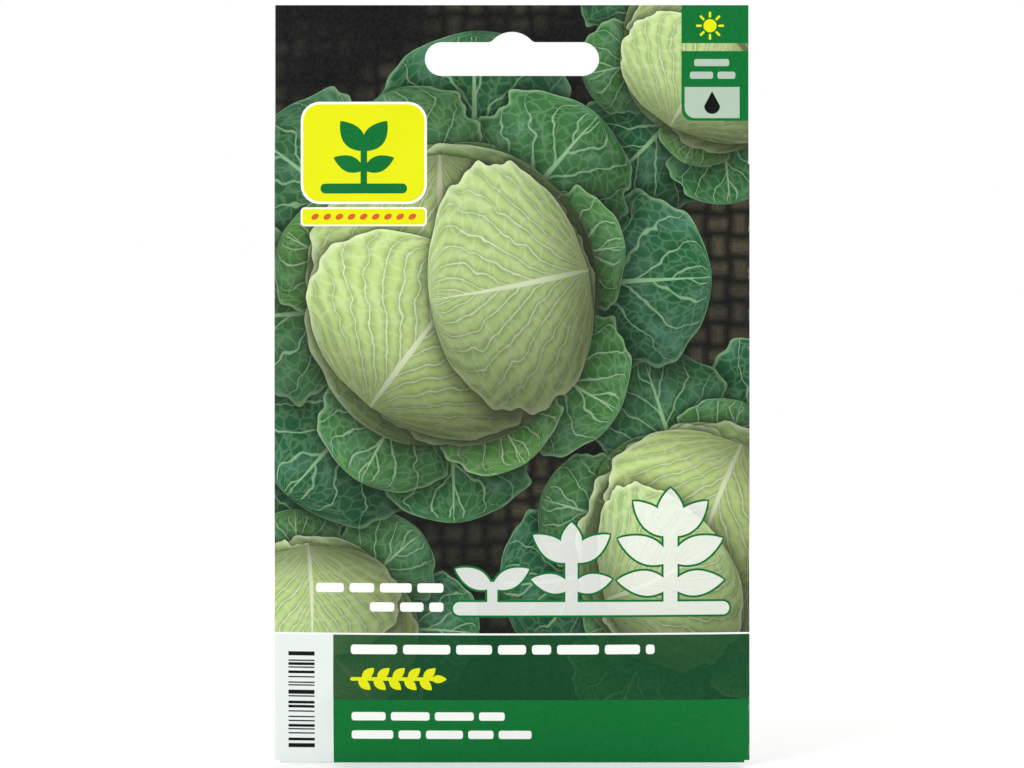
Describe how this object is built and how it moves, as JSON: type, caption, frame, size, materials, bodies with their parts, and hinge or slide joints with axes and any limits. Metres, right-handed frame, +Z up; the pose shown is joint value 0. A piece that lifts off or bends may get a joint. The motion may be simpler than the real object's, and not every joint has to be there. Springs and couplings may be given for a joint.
{
  "type": "seed packet",
  "caption": "Flat paper seed packet, folded from one printed sheet and glued, with a punched hang slot and loose round seeds sealed inside.",
  "frame": {"origin": "middle of the hang slot's upper edge, at the top of its hump and halfway through the header's thickness", "axes": "+Z up along the packet as it hangs, -Y out of the printed front, +X to the right as the front is seen"},
  "size_m": [0.09, 0.0065, 0.1435],
  "materials": {
    "printed_paper": "satin varnish over print",
    "glue": "dried film",
    "seed": "matt"
  },
  "bodies": {
    "root": {"envelope": "printed_paper", "header_glue": "glue", "side_seam_glue": "glue", "bottom_flap_glue": "glue", "seeds": "seed"}
  },
  "joints": []
}
